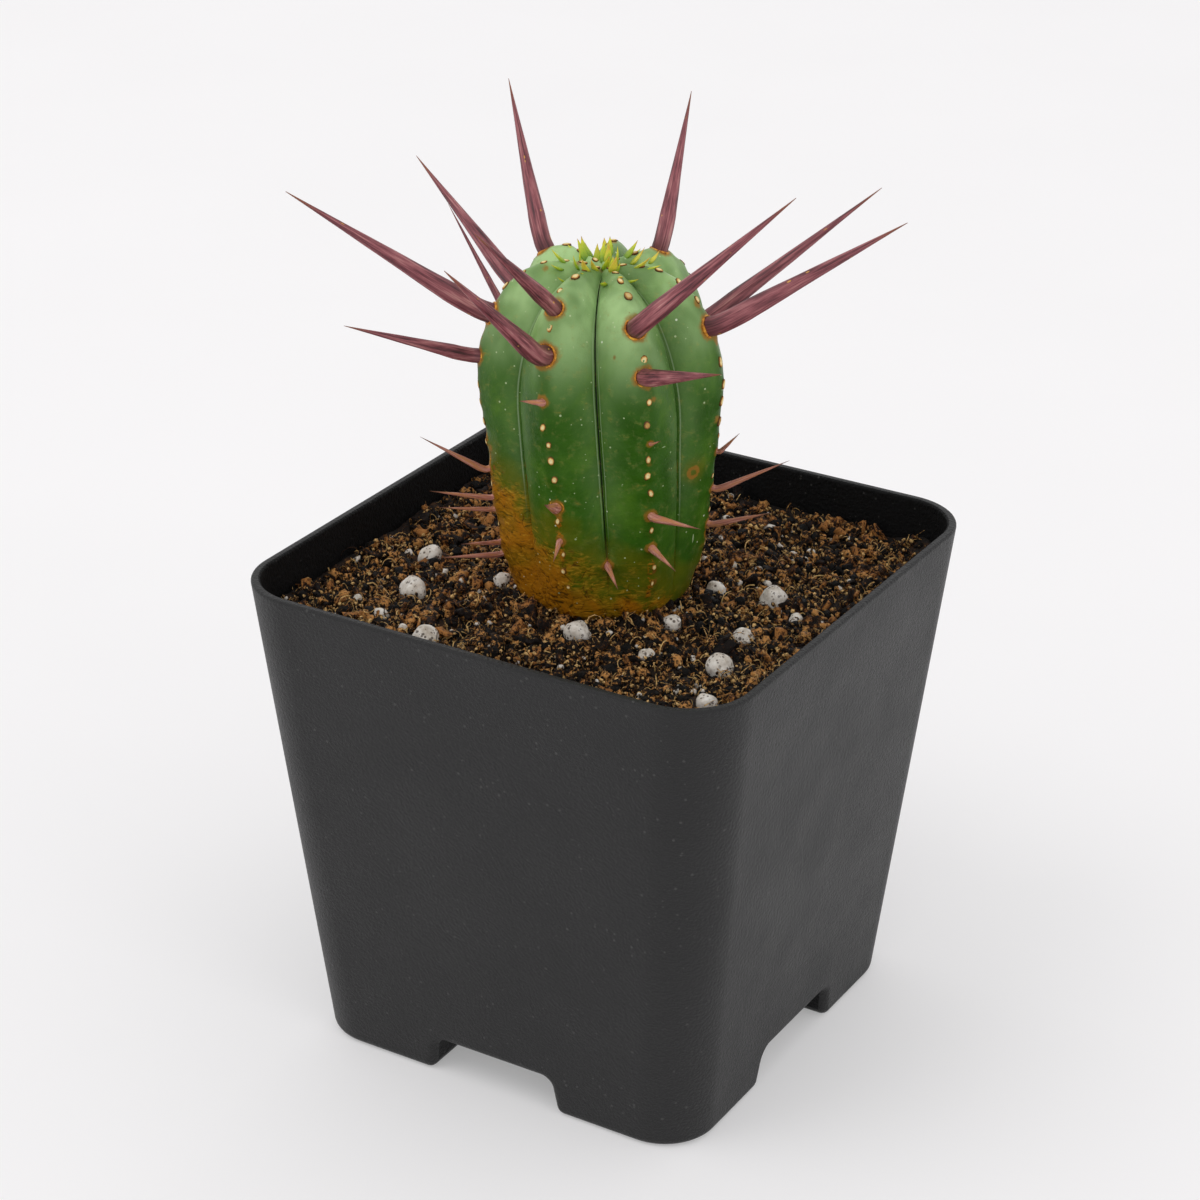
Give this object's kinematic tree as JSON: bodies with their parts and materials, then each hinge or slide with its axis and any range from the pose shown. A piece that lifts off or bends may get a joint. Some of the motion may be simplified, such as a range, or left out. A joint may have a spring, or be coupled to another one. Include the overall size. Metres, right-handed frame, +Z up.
{
  "type": "potted euphorbia",
  "caption": "Young ribbed euphorbia with long purple spines, growing in dark potting mix in a small square tapered plastic nursery pot on four feet",
  "frame": {"origin": "on the ground, below the middle of the pot", "axes": "+Z up along the pot and the stem; X and Y square to the pot's walls"},
  "size_m": [0.0646, 0.064, 0.1087],
  "materials": {
    "pot": "fine-grained matt charcoal",
    "potting_mix": "dark crumbly peat with bark and fibre",
    "stem": "waxy green skin, corky orange-brown at the foot",
    "long_spine": "streaked mauve-purple, satin",
    "short_spine": "dry pinkish brown",
    "leaf": "fresh yellow-green",
    "perlite": "chalky off-white, pitted"
  },
  "bodies": {
    "root": {"pot": "pot", "potting_mix": "potting_mix", "stem": "stem", "long_spine_a": "long_spine", "long_spine_b": "long_spine", "long_spine_c": "long_spine", "long_spine_d": "long_spine", "long_spine_e": "long_spine", "long_spine_f": "long_spine", "long_spine_g": "long_spine", "long_spine_h": "long_spine", "long_spine_i": "long_spine", "long_spine_j": "long_spine", "long_spine_k": "long_spine", "long_spine_l": "long_spine", "long_spine_m": "long_spine", "short_spine_a": "short_spine", "short_spine_b": "short_spine", "short_spine_c": "short_spine", "short_spine_d": "short_spine", "short_spine_e": "short_spine", "short_spine_f": "short_spine", "short_spine_g": "short_spine", "short_spine_h": "short_spine", "short_spine_i": "short_spine", "short_spine_j": "short_spine", "short_spine_k": "short_spine", "short_spine_l": "short_spine", "short_spine_m": "short_spine", "short_spine_n": "short_spine", "short_spine_o": "short_spine", "short_spine_p": "short_spine", "short_spine_q": "short_spine", "short_spine_r": "short_spine", "short_spine_s": "short_spine", "short_spine_t": "short_spine", "short_spine_u": "short_spine", "leaf_a": "leaf", "leaf_b": "leaf", "leaf_c": "leaf", "leaf_d": "leaf", "leaf_e": "leaf", "leaf_f": "leaf", "leaf_g": "leaf", "perlite_a": "perlite", "perlite_b": "perlite", "perlite_c": "perlite", "perlite_d": "perlite", "perlite_e": "perlite", "perlite_f": "perlite", "perlite_g": "perlite", "perlite_h": "perlite", "perlite_i": "perlite", "perlite_j": "perlite", "perlite_k": "perlite", "perlite_l": "perlite"}
  },
  "joints": []
}
